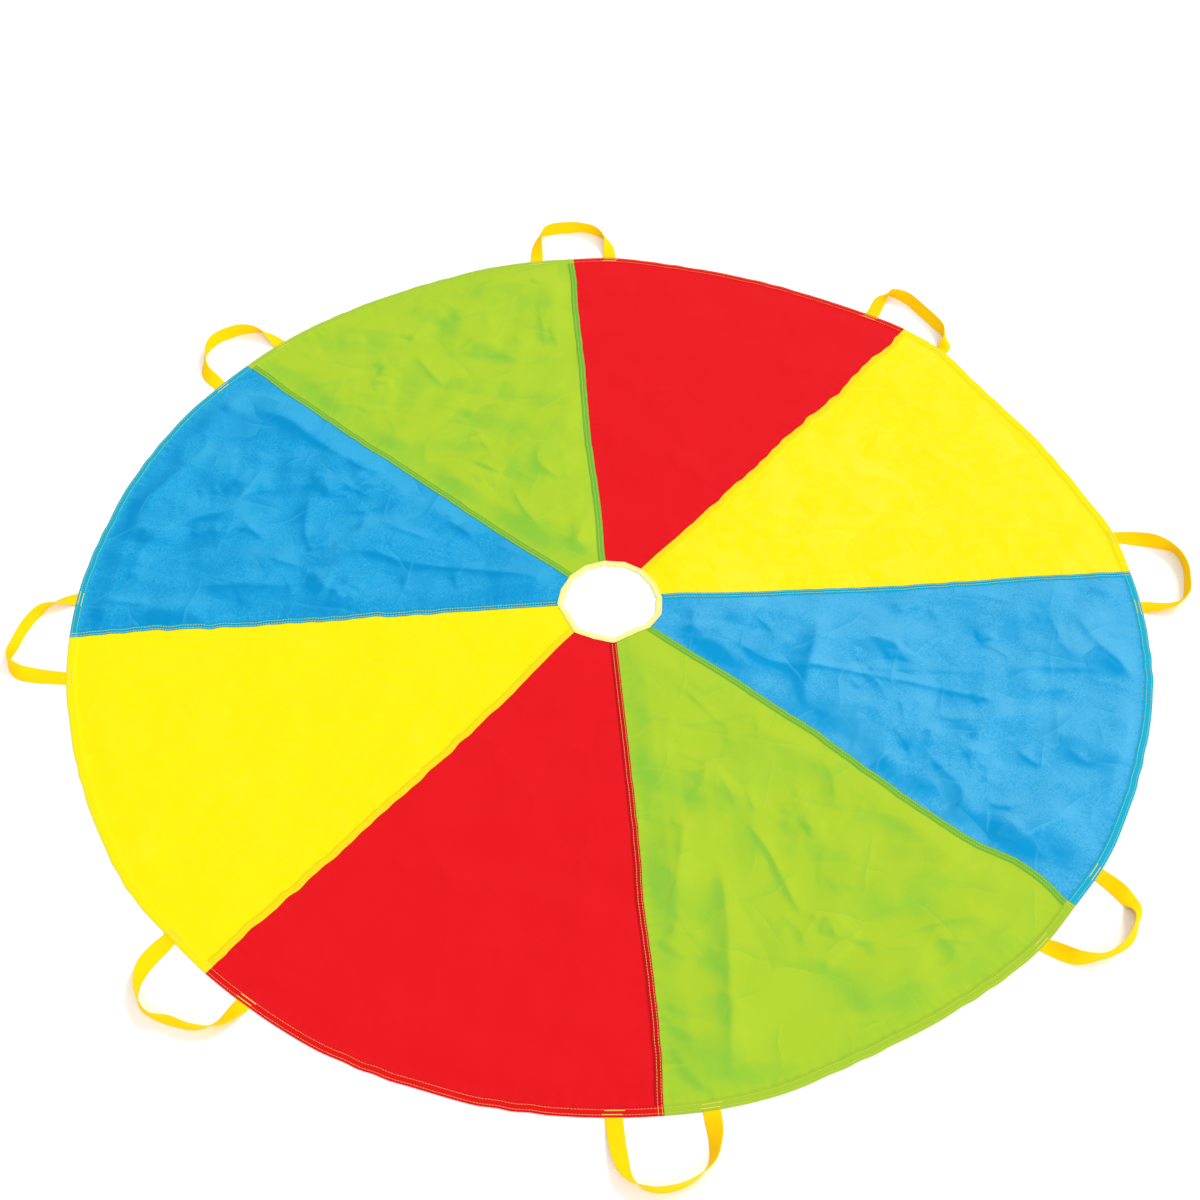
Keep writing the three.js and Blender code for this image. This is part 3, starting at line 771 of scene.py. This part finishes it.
def make_stitch():
    """One stitch along +X: a short twist of thread that dips at both ends."""
    bpy.ops.mesh.primitive_cylinder_add(
        vertices=5, radius=STITCH_RADIUS, depth=STITCH_LENGTH * 0.55, rotation=(0, math.pi / 2, 0))
    bpy.ops.object.transform_apply(location=False, rotation=True, scale=False)
    stitch = bpy.context.object
    bpy.ops.object.mode_set(mode="EDIT")
    for end in (1, -1):
        bpy.ops.mesh.select_all(action="DESELECT")
        bpy.ops.object.mode_set(mode="OBJECT")
        for face in stitch.data.polygons:
            face.select = face.normal.x * end > 0.9
        bpy.ops.object.mode_set(mode="EDIT")
        bpy.ops.mesh.extrude_region_move(TRANSFORM_OT_translate={
            "value": (end * STITCH_LENGTH * 0.225, 0, -STITCH_RADIUS * 0.9)})
        bpy.ops.transform.resize(value=(1, 0.45, 0.45))
    bpy.ops.object.mode_set(mode="OBJECT")
    co = np.array([v.co for v in stitch.data.vertices])
    faces = [tuple(p.vertices) for p in stitch.data.polygons]
    bpy.data.objects.remove(stitch)
    return co, faces


STITCH, STITCH_FACES = make_stitch()


def sew(name, runs, stretch=1.0, width=1.0):
    """A piece of sewing: stitches centred at each run's points and lying along its headings."""
    points = np.concatenate([p for p, _ in runs])
    forward = np.concatenate([h for _, h in runs])
    forward /= np.linalg.norm(forward, axis=1)[:, None]
    side = np.cross((0, 0, 1), forward)
    side /= np.linalg.norm(side, axis=1)[:, None]
    up = np.cross(forward, side)
    shape = STITCH * (stretch, width, width)
    co = points[:, None] + sum(
        shape[None, :, i, None] * axis[:, None] for i, axis in enumerate((forward, side, up)))
    starts = range(0, len(points) * len(STITCH), len(STITCH))
    faces = [tuple(start + i for i in face) for start in starts for face in STITCH_FACES]
    mesh = bpy.data.meshes.new(name)
    mesh.from_pydata(co.reshape(-1, 3).tolist(), [], faces)
    mesh.polygons.foreach_set("use_smooth", np.ones(len(faces), bool))
    mesh.update()
    return new_object(name, mesh)


def run_along(line, pitch=STITCH_PITCH):
    """Stitch centres and headings at even steps along a line of points."""
    walked = walked_along(line)
    places = np.arange(pitch / 2, walked[-1], pitch)
    points, ahead, behind = (
        np.stack([np.interp(places + shift, walked, axis) for axis in line.T], axis=1)
        for shift in (0, pitch / 4, -pitch / 4))
    return points, ahead - behind


def on_strip(g, radius, turn):
    """Points on top of gore g's doubled strip."""
    x, y = on_gore(g, radius, turn)
    z = cloth_height(g, x, y, radius) + STRIP_RISE + CLOTH_THICKNESS / 2 + STITCH_HEIGHT
    return np.stack([x, y, z], axis=1)


def on_hem(g, radius, turn):
    """Points on top of gore g's hem."""
    x, y = on_gore(g, radius, turn)
    _, top = hem_heights(g, cloth_height(g, x, y, radius), radius, turn)
    return np.stack([x, y, top + CLOTH_THICKNESS / 2 + STITCH_HEIGHT], axis=1)


def make_seam_sewing(k):
    """The two rows of seam k, on the gore that carries its strip."""
    g = k if k > 1 else GORES
    turn_from = turn_from_first if k > 1 else turn_from_last
    radius = np.arange(STRIP_START + 2 * MM, HEM_INNER + 1.5 * MM, 2 * MM)
    runs = [run_along(on_strip(g, radius, turn_from(g, radius, d))) for d in SEAM_ROWS]
    over_hem = np.arange(HEM_INNER + 2 * MM, CANOPY_RADIUS - 1.5 * MM, 1 * MM)
    runs += [run_along(on_hem(g, over_hem, turn_from(g, over_hem, d)), TACK_PITCH) for d in SEAM_ROWS]
    return sew(f"seam_sewing_{k}", runs), g


def make_hem_sewing():
    """The two rows round the hem."""
    runs = []
    for row in HEM_ROWS:
        line = []
        for g in range(1, GORES + 1):
            turn = np.linspace(0, GORE_ANGLE, 400)[:-1]
            line.append(on_hem(g, np.full_like(turn, CANOPY_RADIUS - row), turn))
        line = np.concatenate(line)
        runs.append(run_along(np.concatenate([line, line[:1]])))
    return sew("hem_sewing", runs, width=0.65)


def make_binding_sewing():
    """The row round the binding."""
    angle = np.linspace(0, math.tau, 600)
    radius = BINDING_OUTER - BINDING_ROW
    radius = radius + hole_lie(angle, np.full_like(angle, radius))
    line = np.stack([radius * np.cos(angle), radius * np.sin(angle),
                     np.full_like(angle, BINDING_TOP + STITCH_RADIUS * 0.4)], axis=1)
    return sew("binding_sewing", [run_along(line, 3.6 * MM)], stretch=0.8)


def make_tack(k, side):
    """Two bold, close rows over a webbing end, not quite in line with each other."""
    lay = LOOP_LAYS[k - 1]
    along = (lay[0][0] if side == "a" else lay[-1][0]) * MM
    g = k if along > 0 else (k - 2) % GORES + 1
    centre = abs(math.asin(along / CANOPY_RADIUS))
    turn0 = centre if along > 0 else GORE_ANGLE - centre
    half = TACK_LENGTH / 2 / CANOPY_RADIUS
    runs = []
    for row, slip in zip(TACK_ROWS, TACK_SLIPS):
        turn = np.linspace(turn0 - half + slip / CANOPY_RADIUS, turn0 + half + slip / CANOPY_RADIUS, 40)
        line = on_hem(g, np.full_like(turn, CANOPY_RADIUS - row), turn)
        runs.append(run_along(line, TACK_PITCH))
    return sew(f"tack_sewing_{k}{side}", runs, stretch=0.7, width=2.1)


# ---------- materials ----------

BRIGHTNESS = 1.3


def dyed(*shown):
    """The dye that shows as this display colour, 0 to 255, under the scene's light."""
    def light(v):
        v /= 255
        return v / 12.92 if v <= 0.04045 else ((v + 0.055) / 1.055) ** 2.4
    return *(light(v) / BRIGHTNESS for v in shown), 1.0


def new_group(name, inputs, outputs):
    """A shader group whose inputs and outputs are given as lists of names by kind."""
    group = bpy.data.node_groups.new(name, "ShaderNodeTree")
    for side, kinds in (("INPUT", inputs), ("OUTPUT", outputs)):
        for kind, labels in kinds.items():
            for label in labels:
                group.interface.new_socket(name=label, in_out=side, socket_type=f"NodeSocket{kind}")
    return group, group.nodes.new("NodeGroupInput").outputs, group.nodes.new("NodeGroupOutput")


def feed(tree, node, given):
    """Sets or links the inputs of a node, each by its name or number, and hands back its outputs."""
    for name, value in given.items():
        if isinstance(value, bpy.types.NodeSocket):
            tree.links.new(value, node.inputs[name])
        else:
            node.inputs[name].default_value = value
    return node.outputs


def math_node(tree, operation, *values, clamp=False):
    node = tree.nodes.new("ShaderNodeMath")
    node.operation = operation
    node.use_clamp = clamp
    return feed(tree, node, dict(enumerate(values)))[0]


def times(tree, first, second):
    return math_node(tree, "MULTIPLY", first, second)


def ramp(tree, value, slope, start):
    """slope * value + start, held between 0 and 1."""
    return math_node(tree, "MULTIPLY_ADD", value, slope, start, clamp=True)


def mix_colour(tree, share, first, second):
    node = tree.nodes.new("ShaderNodeMix")
    node.data_type = "RGBA"
    return feed(tree, node, {"Factor": share, 6: first, 7: second})[2]


def layered(tree, colour, *layers):
    """A colour with others laid over it, each as (share, colour)."""
    for share, over in layers:
        colour = mix_colour(tree, share, colour, over)
    return colour


def noise(tree, vector, scale, detail=2.0, rough=0.5):
    node = tree.nodes.new("ShaderNodeTexNoise")
    given = {"Vector": vector, "Scale": scale, "Detail": detail, "Roughness": rough}
    return feed(tree, node, given)["Fac"]


def wave(tree, vector, direction, scale):
    node = tree.nodes.new("ShaderNodeTexWave")
    node.bands_direction = direction
    return feed(tree, node, {"Vector": vector, "Scale": scale, "Distortion": 0.4})["Fac"]


def woven_group():
    """Plain weave: two crossed sets of threads with an uneven grain over them."""
    group, given, result = new_group(
        "plain_weave", {"Vector": ["Vector"], "Float": ["Thread"]}, {"Float": ["Height", "Grain"]})
    warp, weft = (wave(group, given["Vector"], direction, 260) for direction in "XY")
    threads = times(group, math_node(group, "ADD", warp, weft), given["Thread"])
    grain = noise(group, given["Vector"], 300, 3.0, 0.75)
    feed(group, result, {"Height": math_node(group, "ADD", threads, grain), "Grain": grain})
    return group


# Heading, and distance apart in metres, of each set of straight creases
CREASE_SETS = ((0.3, 0.085), (1.1, 0.12), (1.9, 0.095), (2.65, 0.11))
# How strong the painted light and painted shade beside a crease are at its line, and how far they reach
PAINTED_LIGHT_SHARE, PAINTED_LIGHT_REACH = 0.55, 6 * MM
PAINTED_SHADE_SIDES = ((0.6, 20 * MM), (1, 4 * MM))


def straight_creases(group, vector):
    """Painted light and painted shade beside straight creases of colour only: sets that cross, each in
    short lengths.
    """
    pale = deep = 0
    for heading, apart in CREASE_SETS:
        turn = group.nodes.new("ShaderNodeVectorRotate")
        turn.rotation_type = "Z_AXIS"
        turned = feed(group, turn, {"Vector": vector, "Angle": heading})["Vector"]
        across = feed(group, group.nodes.new("ShaderNodeSeparateXYZ"), {"Vector": turned})["X"]
        place = math_node(group, "FRACT", math_node(group, "DIVIDE", across, apart))
        stretch = group.nodes.new("ShaderNodeVectorMath")
        stretch.operation = "MULTIPLY"
        lengths = feed(group, stretch, {0: turned, 1: (0.6 / apart, 9, 0)})["Vector"]
        shown = ramp(group, noise(group, lengths, 1, 1.0), 7, -3.7)
        mask = ramp(group, place, -PAINTED_LIGHT_SHARE * apart / PAINTED_LIGHT_REACH, PAINTED_LIGHT_SHARE)
        pale = math_node(group, "MAXIMUM", pale, times(group, mask, shown))
        for share, side in PAINTED_SHADE_SIDES:
            mask = ramp(group, place, share * apart / side, share - share * apart / side)
            deep = math_node(group, "MAXIMUM", deep, times(group, mask, shown))
    return pale, deep


def facets(group, vector):
    """Distance to a facet's edge, a random tone per facet for its painted light and shade, and the
    bowed place.
    """
    wander = feed(group, group.nodes.new("ShaderNodeTexNoise"), {"Vector": vector, "Scale": 9})["Color"]
    bow = group.nodes.new("ShaderNodeVectorMath")
    bow.operation = "MULTIPLY_ADD"
    bowed = feed(group, bow, {0: wander, 1: (0.05, 0.05, 0), 2: vector})["Vector"]
    found = []
    for feature, output in (("DISTANCE_TO_EDGE", "Distance"), ("F1", "Color")):
        cells = group.nodes.new("ShaderNodeTexVoronoi")
        cells.feature = feature
        found.append(feed(group, cells, {"Vector": bowed, "Scale": 11})[output])
    return *found, bowed


# How strongly the painted light shows on the cloth
LIT_SHARE = 0.6
THREAD_HEIGHT = 0.015 * MM


def fold_group():
    """Folded cloth: painted light and shade on folds and facets, slow patches, deeper doubled parts."""
    group, given, result = new_group(
        "folded_cloth",
        {"Vector": ["Vector"], "Color": ["Cloth", "Paler And Painted Light", "Deeper And Painted Shade", "Strip", "Hem"],
         "Float": ["Crease", "Shade", "On Strip", "On Hem", "Patches", "Facets", "Speck", "Grain"]},
        {"Color": ["Color"], "Float": ["Roughness", "Crumple"]})
    vector, paler_and_painted_light, deeper_and_painted_shade, grain, patches = (
        given[name] for name in ("Vector", "Paler And Painted Light", "Deeper And Painted Shade", "Grain", "Patches"))
    deep = ramp(group, noise(group, vector, 6.5, 4.0, 0.55), 3.4, -1.5)
    pale = ramp(group, noise(group, vector, 42.0, 5.0, 0.65), 4.0, -1.8)
    layers = [(times(group, deep, patches), deeper_and_painted_shade), (times(group, pale, patches), paler_and_painted_light)]
    for dye, slope, start, weight in ((paler_and_painted_light, 3.5, -1.45, 1), (deeper_and_painted_shade, -3.5, 1.75, 0.6)):
        speck = times(group, ramp(group, grain, slope, start), times(group, given["Speck"], weight))
        layers.append((speck, dye))
    # Painted light on ridges and slopes towards the light, painted shade in valleys and slopes away
    bent, shade = times(group, given["Crease"], 0.5), given["Shade"]
    painted_light = math_node(group, "SUBTRACT", bent, shade, clamp=True)
    painted_shade = math_node(group, "SUBTRACT", shade, bent, clamp=True)
    layers += [(times(group, painted_light, LIT_SHARE), paler_and_painted_light), (painted_shade, deeper_and_painted_shade)]
    # Painted light and shade on each facet, from its random tone, shown in patches
    edge, painted_facet_tone, bowed = facets(group, vector)
    shown = times(group, ramp(group, noise(group, vector, 7), 4.5, -1.9), given["Facets"])
    for dye, slope, start in ((paler_and_painted_light, 2.2, -1.2), (deeper_and_painted_shade, -2.2, 1.0)):
        layers.append((times(group, ramp(group, painted_facet_tone, slope, start), shown), dye))
    # Painted light and shade beside straight creases that exist only in colour
    creased = ramp(group, given["Facets"], 1.4, 0)
    for dye, line in zip((paler_and_painted_light, deeper_and_painted_shade), straight_creases(group, bowed)):
        layers.append((times(group, line, creased), dye))
    layers += [(given["On Strip"], given["Strip"]), (given["On Hem"], given["Hem"])]
    feed(group, result, {
        "Color": layered(group, given["Cloth"], *layers),
        "Roughness": ramp(group, grain, 0.18, 0.6), "Crumple": ramp(group, edge, 8.0, 0)})
    return group


PLAIN_WEAVE = woven_group()
FOLDED_CLOTH = fold_group()


def new_material(name):
    material = bpy.data.materials.new(name)
    material.use_nodes = True
    tree = material.node_tree
    shader = next(n for n in tree.nodes if n.type == "BSDF_PRINCIPLED")
    shader.inputs["Specular IOR Level"].default_value = 0.06
    return material, tree, shader


def set_surface(tree, shader, colour, rough, height, strength, distance):
    """Gives a shader its colour, its roughness and a bump from this height."""
    bump = tree.nodes.new("ShaderNodeBump")
    normal = feed(tree, bump, {"Height": height, "Strength": strength, "Distance": distance})["Normal"]
    feed(tree, shader, {"Base Color": colour, "Roughness": rough, "Normal": normal})


def use_group(tree, group, given):
    node = tree.nodes.new("ShaderNodeGroup")
    node.node_tree = group
    return feed(tree, node, given)


def attribute(tree, name):
    node = tree.nodes.new("ShaderNodeAttribute")
    node.attribute_name = name
    return node.outputs["Fac"]


def object_coordinates(tree):
    return tree.nodes.new("ShaderNodeTexCoord").outputs["Object"]


def cloth_material(name, shares, crumple, *shown):
    """Wrinkled cloth: its shares of patches, facets and specks, its crumple and its display colours."""
    material, tree, shader = new_material(f"{name}_cloth")
    vector = object_coordinates(tree)
    weave = use_group(tree, PLAIN_WEAVE, {"Vector": vector, "Thread": 0.35})
    given = {"Vector": vector, "Grain": weave["Grain"]}
    given.update(zip(("Patches", "Facets", "Speck"), shares))
    given.update(zip(("Cloth", "Paler And Painted Light", "Deeper And Painted Shade", "Strip", "Hem"), (dyed(*colour) for colour in shown)))
    marks = {"Crease": "crease", "Shade": "shade", "On Strip": "strip", "On Hem": "hem"}
    given.update((label, attribute(tree, mark)) for label, mark in marks.items())
    folded = use_group(tree, FOLDED_CLOTH, given)
    threads = times(tree, weave["Height"], THREAD_HEIGHT)
    height = math_node(tree, "ADD", threads, times(tree, folded["Crumple"], crumple))
    set_surface(tree, shader, folded["Color"], folded["Roughness"], height, strength=1.0, distance=1.0)
    return material


# Each cloth's name, its shares of patches, of painted facet and crease light and shade, and of specks,
# its crumple, and the display colours of the cloth, of its paler patches, specks and painted light, of
# its deeper patches, specks and painted shade, of the doubled strip and of the hem
CLOTHS = {name: cloth_material(name, shares, crumple, *shown) for name, shares, crumple, *shown in (
    ("red", (0.05, 0.15, 0.1), 0.1 * MM,
     (233, 20, 29), (238, 30, 37), (227, 13, 23), (202, 11, 25), (230, 19, 27)),
    ("yellow", (0.3, 0.35, 0.15), 0.1 * MM,
     (255, 240, 0), (255, 245, 40), (255, 236, 0), (252, 224, 0), (254, 240, 0)),
    # gore 2's yellow: more patches, and more painted light and shade on facets and creases
    ("crinkled_yellow", (0.5, 0.7, 0.15), 0.1 * MM,
     (255, 240, 0), (255, 245, 66), (255, 236, 0), (252, 224, 0), (254, 240, 0)),
    ("blue", (0.16, 0.55, 0.9), 0.4 * MM,
     (48, 169, 225), (90, 190, 234), (0, 155, 216), (16, 170, 206), (22, 178, 212)),
    # gore 7's blue: a darker copy of the blue cloth, painted shade over the whole gore
    ("deep_blue", (0.16, 0.6, 0.95), 0.4 * MM,
     (2, 158, 218), (62, 180, 228), (0, 146, 208), (14, 162, 198), (20, 172, 206)),
    ("green", (0.05, 0.5, 0.2), 0.3 * MM,
     (175, 210, 48), (186, 214, 50), (144, 202, 60), (116, 186, 58), (168, 205, 52)),
)}
GOLD, PALE_GOLD, DEEP_GOLD = (0.94, 0.57, 0.0, 1), (0.98, 0.62, 0.002, 1), (0.92, 0.52, 0.0, 1)


def webbing_material():
    """Ribbed webbing: close ribs across it and cords along it."""
    material, tree, shader = new_material("webbing")
    uv = tree.nodes.new("ShaderNodeUVMap").outputs["UV"]
    vector = object_coordinates(tree)
    ribs, cords = wave(tree, uv, "X", 210), wave(tree, uv, "Y", 120)
    grain, slow = noise(tree, vector, 260, 3.0, 0.6), noise(tree, vector, 30)
    colour = layered(
        tree, GOLD, (times(tree, ribs, 0.3), PALE_GOLD),
        (times(tree, slow, 0.5), DEEP_GOLD), (times(tree, grain, 0.25), PALE_GOLD))
    height = math_node(tree, "ADD", times(tree, ribs, 0.7), times(tree, cords, 0.4))
    rough = ramp(tree, grain, 0.2, 0.6)
    set_surface(tree, shader, colour, rough, height, strength=0.5, distance=0.25 * MM)
    return material


def binding_material():
    """Cream-yellow tape with slow paler patches."""
    material, tree, shader = new_material("binding")
    vector = object_coordinates(tree)
    weave = use_group(tree, PLAIN_WEAVE, {"Vector": vector, "Thread": 0.5})
    patches = ramp(tree, noise(tree, vector, 60, 3.0, 0.6), 1.6, -0.3)
    colour = mix_colour(tree, patches, dyed(255, 245, 132), dyed(255, 250, 184))
    rough = ramp(tree, weave["Grain"], 0.2, 0.6)
    set_surface(tree, shader, colour, rough, weave["Height"], strength=0.4, distance=0.15 * MM)
    return material


def thread_material():
    """Twisted sewing thread, paler on each twist."""
    material, tree, shader = new_material("thread")
    vector = object_coordinates(tree)
    twist, slow = wave(tree, vector, "DIAGONAL", 420), noise(tree, vector, 90)
    colour = layered(tree, dyed(255, 238, 112), (times(tree, twist, 0.4), dyed(255, 246, 160)),
                     (times(tree, slow, 0.5), dyed(252, 226, 90)))
    rough = ramp(tree, slow, 0.2, 0.5)
    set_surface(tree, shader, colour, rough, twist, strength=0.4, distance=0.1 * MM)
    return material


WEBBING, BINDING, THREAD = webbing_material(), binding_material(), thread_material()


def dress(piece, material, slot, *nodes):
    """Gives a piece its material and hides the imported nodes it stands for. The slot is not used."""
    piece.data.materials.clear()
    piece.data.materials.append(material)
    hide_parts(*nodes)
    return piece


# ---------- the parachute ----------

def lift_with_crown(piece):
    """Bakes a piece's transform into its mesh."""
    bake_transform(piece)


# Gore 2 takes more painted light on its yellow; gore 7 takes a darker blue as painted shade
OWN_CLOTHS = {2: "crinkled_yellow", 7: "deep_blue"}

for g in range(1, GORES + 1):
    cloth = CLOTH_NAMES[g - 1]
    gore = dress(make_gore(g), CLOTHS[OWN_CLOTHS.get(g, cloth)], f"{cloth}_cloth", f"gore_{g}_{cloth}")
    lift_with_crown(gore)

for k in range(1, GORES + 1):
    sewing, g = make_seam_sewing(k)
    dress(sewing, THREAD, "thread", f"seam_stitching_{k}")
    lift_with_crown(sewing)
    strap = dress(make_strap(k), WEBBING, "webbing",
                  f"hand_loop_{k}", f"loop_end_{k}a", f"loop_end_{k}b")
    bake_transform(strap)
    for side in "ab":
        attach(dress(make_tack(k, side), THREAD, "thread", f"tack_{k}{side}"), "canopy")

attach(dress(make_hem_sewing(), THREAD, "thread", "hem_stitching"), "canopy")
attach(dress(make_binding(), BINDING, "binding", "centre_binding"), "crown")
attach(dress(make_binding_sewing(), THREAD, "thread", "binding_stitching"), "crown")


# ---------- floor, light and camera ----------

def make_floor():
    bpy.ops.mesh.primitive_plane_add(size=36, location=(0, 0, 0))
    floor = bpy.context.object
    floor.name = floor.data.name = "floor"
    material, tree, shader = new_material("floor_white")
    grain = noise(tree, object_coordinates(tree), 4)
    colour = mix_colour(tree, grain, (0.93, 0.93, 0.93, 1), (0.95, 0.95, 0.95, 1))
    feed(tree, shader, {"Base Color": colour, "Roughness": 0.9})
    floor.data.materials.append(material)


SKY_STRENGTH = 0.87
KEY_STRENGTH = 1.5
FILL_STRENGTH = 1.3
FILL_FROM = (1.6, -4.2, 1.9)


def make_light():
    world = bpy.data.worlds.new("studio")
    bpy.context.scene.world = world
    world.use_nodes = True
    sky = next(n for n in world.node_tree.nodes if n.type == "BACKGROUND")
    sky.inputs["Color"].default_value = (1, 1, 1, 1)
    sky.inputs["Strength"].default_value = SKY_STRENGTH
    key_from = (4 * LIGHT_SIDE[0], 4 * LIGHT_SIDE[1], 4)
    for name, strength, softness, place in (
            ("key", KEY_STRENGTH, 20, key_from), ("fill", FILL_STRENGTH, 50, FILL_FROM)):
        light = bpy.data.lights.new(name, "SUN")
        light.angle = math.radians(softness)
        light.energy = strength
        lamp = new_object(name, light)
        lamp.location = place
        lamp.rotation_euler = (-lamp.location).to_track_quat("-Z", "Y").to_euler()


def make_camera():
    """The camera, a little left of seam 5 and half way up, aimed just beside the hole's middle."""
    camera = new_object("camera", bpy.data.cameras.new("camera"))
    camera.data.lens = CAMERA_LENS
    camera.data.sensor_width = 36
    camera.data.clip_end = 100
    a, e = CAMERA_AZIMUTH, CAMERA_ELEVATION
    right = Vector((math.cos(a), math.sin(a), 0))
    back = Vector((math.sin(a) * math.cos(e), -math.cos(a) * math.cos(e), math.sin(e)))
    up = back.cross(right)
    ahead = Vector((-math.sin(a), math.cos(a), 0))
    place = right * CAMERA_AIM[0] + ahead * CAMERA_AIM[1] + back * CAMERA_DISTANCE
    c, s = math.cos(CAMERA_ROLL), math.sin(CAMERA_ROLL)
    turned = Matrix((right * c - up * s, right * s + up * c, back)).transposed()
    camera.matrix_world = Matrix.Translation(place) @ turned.to_4x4()
    bpy.context.scene.camera = camera


make_floor()
make_light()
make_camera()
bpy.context.scene.view_settings.view_transform = "Standard"
